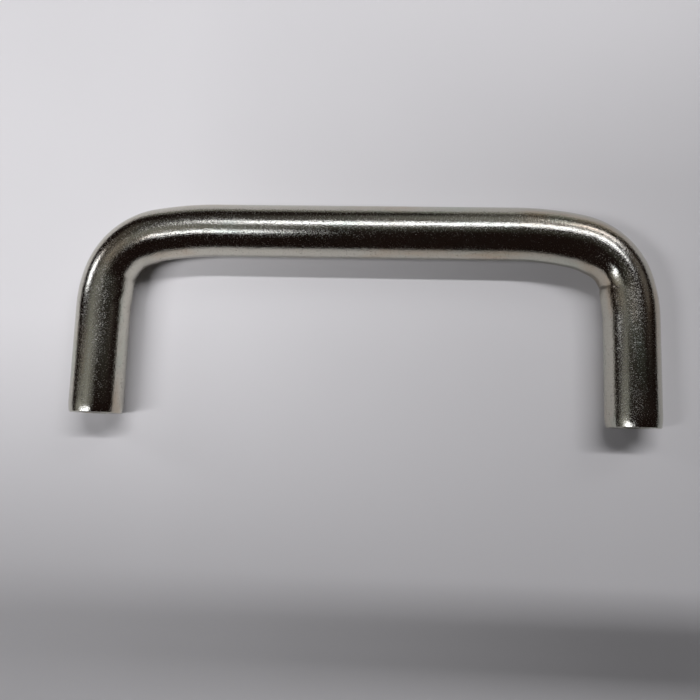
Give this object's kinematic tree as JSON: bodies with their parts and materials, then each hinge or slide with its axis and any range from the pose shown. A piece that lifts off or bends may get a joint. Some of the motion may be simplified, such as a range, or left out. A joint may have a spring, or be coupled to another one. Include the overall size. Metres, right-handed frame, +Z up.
{
  "type": "bridge pull handle",
  "caption": "Round-bar U-shaped bridge pull handle with a tapped blind hole in each foot, for pulling a door or drawer.",
  "frame": {"origin": "midway between the two fixing holes, on the plane of the feet, on the bar's axis", "axes": "+X along the grip, +Y from the feet to the grip, +Z up out of the handle's flat side; the handle lies on its side"},
  "size_m": [0.11, 0.041, 0.01],
  "materials": {
    "nickel_plate": "bright nickel plate over polished steel bar, fine grain showing"
  },
  "bodies": {
    "root": {"handle_bar": "nickel_plate"}
  },
  "joints": []
}
